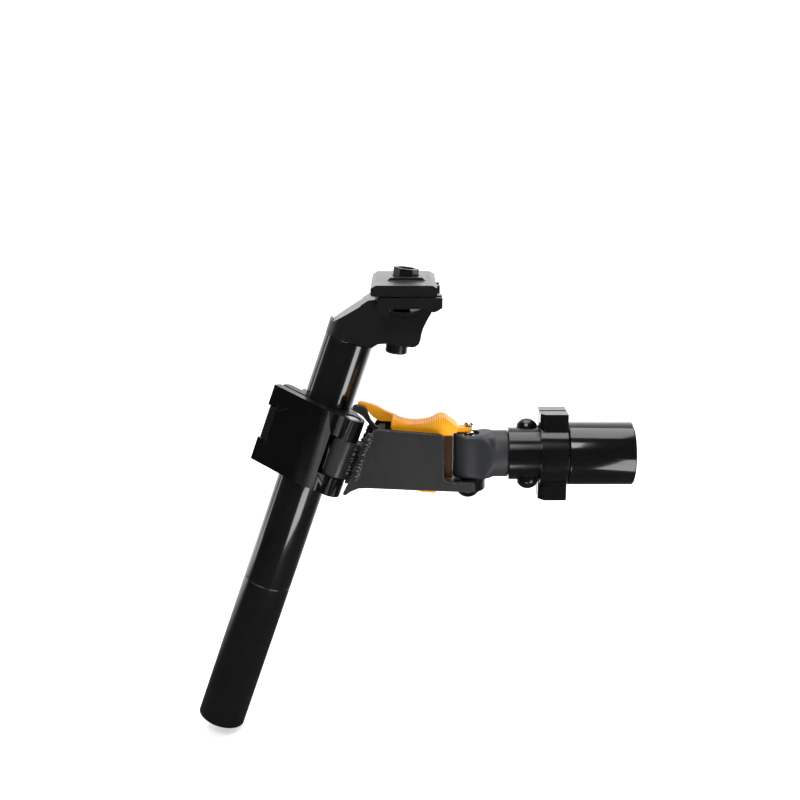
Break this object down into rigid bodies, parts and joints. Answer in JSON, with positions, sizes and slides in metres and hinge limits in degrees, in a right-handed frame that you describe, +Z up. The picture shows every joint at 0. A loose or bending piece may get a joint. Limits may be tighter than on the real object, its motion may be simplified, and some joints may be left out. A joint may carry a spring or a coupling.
{
  "type": "set-back seatpost with tow hitch",
  "caption": "Leaning bicycle seatpost with a single-bolt saddle rail clamp and a swivelling, quick-release tow hitch clamped around it.",
  "frame": {"origin": "on the post's centre line at the minimum insertion mark, the highest place the seat tube's mouth may reach", "axes": "+X rearward along the tow line, +Y to the rider's right, +Z up; the post leans back 19 degrees as fitted"},
  "size_m": [0.2272, 0.06, 0.2524],
  "materials": {
    "anodised_black": "glossy",
    "forged_black": "satin",
    "clamp_black": "glossy",
    "black_oxide": "satin",
    "zinc_steel": "satin",
    "barrel_grey": "satin",
    "bronze": "satin",
    "powder_grey": "textured matte",
    "weld_grey": "satin",
    "stud_chrome": "polished",
    "latch_orange": "satin",
    "tongue_slate": "matte",
    "sleeve_black": "glossy",
    "spigot_black": "glossy"
  },
  "bodies": {
    "post": {"post_tube": "anodised_black", "post_head": "forged_black", "hitch_clamp": "clamp_black", "clamp_nut_plate": "black_oxide", "clamp_bolts": "black_oxide", "clamp_washers": "zinc_steel", "hinge_pin": "zinc_steel", "hinge_pin_clips": "zinc_steel"},
    "rail_clamp": {"rail_cradle": "forged_black", "rail_cap": "forged_black", "rail_bolt": "black_oxide", "rail_washer": "zinc_steel", "rail_nut": "black_oxide"},
    "swivel_bracket": {"hinge_barrel": "barrel_grey", "hinge_bushes": "bronze", "bracket_channel": "powder_grey", "bracket_web": "powder_grey", "bracket_lip": "clamp_black", "weld_beads": "weld_grey", "king_stud": "stud_chrome", "stud_nut": "clamp_black"},
    "latch": {"release_latch": "latch_orange"},
    "tongue_arm": {"tongue": "tongue_slate", "tongue_bush": "bronze", "sleeve_upper": "sleeve_black", "sleeve_lower": "sleeve_black", "sleeve_bolt": "zinc_steel", "sleeve_caps": "sleeve_black", "shaft_washer": "zinc_steel", "shaft_ring": "black_oxide"},
    "tow_end": {"spigot": "spigot_black", "collar_near": "spigot_black", "collar_far": "spigot_black", "collar_screws": "black_oxide"}
  },
  "joints": [
    {"name": "clamp_tilt", "type": "hinge", "parent": "post", "child": "rail_clamp", "pos_m": [0.0732, 0, 0.1605], "axis": [0, 1, 0], "range_deg": [-8, 6]},
    {"name": "hitch_swivel", "type": "hinge", "parent": "post", "child": "swivel_bracket", "pos_m": [0.04034, -0.0175, 0.07416], "axis": [0.3256, 0, 0.9455], "range_deg": [-70, 6]},
    {"name": "latch_slide", "type": "slide", "parent": "swivel_bracket", "child": "latch", "axis": [-1, 0, 0], "range_m": [0, 0.0025], "stiffness_N_per_m": 400, "springref_m": -0.003},
    {"name": "tongue_turn", "type": "hinge", "parent": "swivel_bracket", "child": "tongue_arm", "pos_m": [0.1053, -0.0175, 0.0757], "axis": [0, 0, 1], "range_deg": [-35, 35]},
    {"name": "tow_roll", "type": "hinge", "parent": "tongue_arm", "child": "tow_end", "pos_m": [0.16, -0.0175, 0.0757], "axis": [1, 0, 0], "continuous": true}
  ]
}
